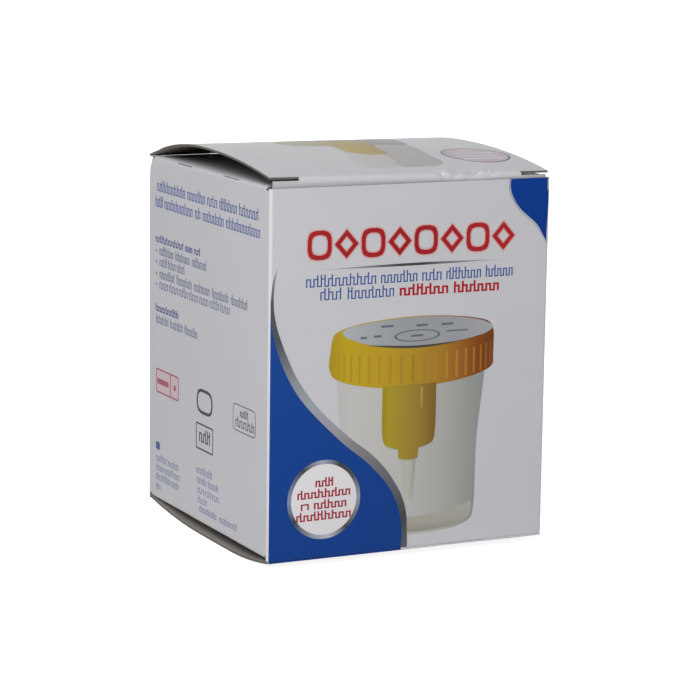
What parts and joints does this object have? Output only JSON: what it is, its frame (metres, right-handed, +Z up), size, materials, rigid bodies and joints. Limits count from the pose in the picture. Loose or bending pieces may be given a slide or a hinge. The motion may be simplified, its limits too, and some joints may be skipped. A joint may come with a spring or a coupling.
{
  "type": "tuck-end folding carton with a specimen container inside",
  "caption": "Square tuck-end folding carton with bowed end flaps and slit-locked tucks, holding a tapered specimen cup with a ribbed screw cap and tube well.",
  "frame": {"origin": "on the table, under the middle of the carton, level with the lowest line of the bowed bottom flap", "axes": "+Z up, -Y out of the front wall, -X out of the left wall"},
  "size_m": [0.07, 0.07, 0.0911],
  "materials": {
    "coated_board": "printed and varnished outside, plain grey inside",
    "clear_polypropylene": "natural, translucent, moulded",
    "yellow_polyethylene": "moulded, semi-gloss",
    "label_stock": "satin",
    "stainless_steel": "drawn",
    "sleeve_rubber": "matt",
    "white_polyethylene": "natural"
  },
  "bodies": {
    "carton": {"carton": "coated_board", "specimen_cup": "clear_polypropylene", "screw_cap": "yellow_polyethylene", "cap_label": "label_stock", "needle": "stainless_steel", "needle_sleeve": "sleeve_rubber", "draw_tube": "white_polyethylene"},
    "lid": {"lid": "coated_board"},
    "bottom_flap": {"bottom_flap": "coated_board"}
  },
  "joints": [
    {"name": "lid_crease", "type": "hinge", "parent": "carton", "child": "lid", "pos_m": [0, 0.03475, 0.08599], "axis": [-1, 0, 0], "range_deg": [0, 160]},
    {"name": "bottom_crease", "type": "hinge", "parent": "carton", "child": "bottom_flap", "pos_m": [0, -0.03475, 0.00219], "axis": [-1, 0, 0], "range_deg": [0, 160]}
  ]
}
